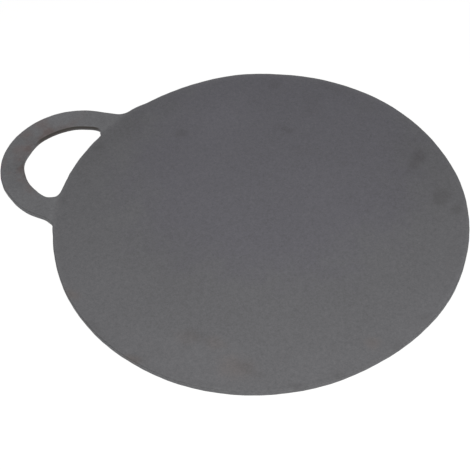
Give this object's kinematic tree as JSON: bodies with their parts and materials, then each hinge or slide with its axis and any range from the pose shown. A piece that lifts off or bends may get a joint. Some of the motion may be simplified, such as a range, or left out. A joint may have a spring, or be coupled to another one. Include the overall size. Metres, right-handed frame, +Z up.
{
  "type": "bakestone girdle griddle",
  "caption": "Flat round steel plate for baking flatbreads and scones, with a loop handle welded to its rim in the plane of the plate.",
  "frame": {"origin": "centre of the disc's underside, which is the face that it rests on", "axes": "+Z up out of the cooking face, -X from the disc's centre towards the loop handle, +Y to the left of a cook who holds the handle"},
  "size_m": [0.3348, 0.28, 0.004],
  "materials": {
    "disc_steel": "dark blue-grey mill skin on hot-rolled steel plate, matt and finely grained, lightly oiled",
    "handle_steel": "dark grey hot-rolled steel bar, matt, with faint brown staining from heat and handling",
    "weld_steel": "weld metal ground flush and darkened like the plate, matt"
  },
  "bodies": {
    "root": {"griddle_disc": "disc_steel", "loop_handle": "handle_steel", "left_foot_weld": "weld_steel", "right_foot_weld": "weld_steel"}
  },
  "joints": []
}
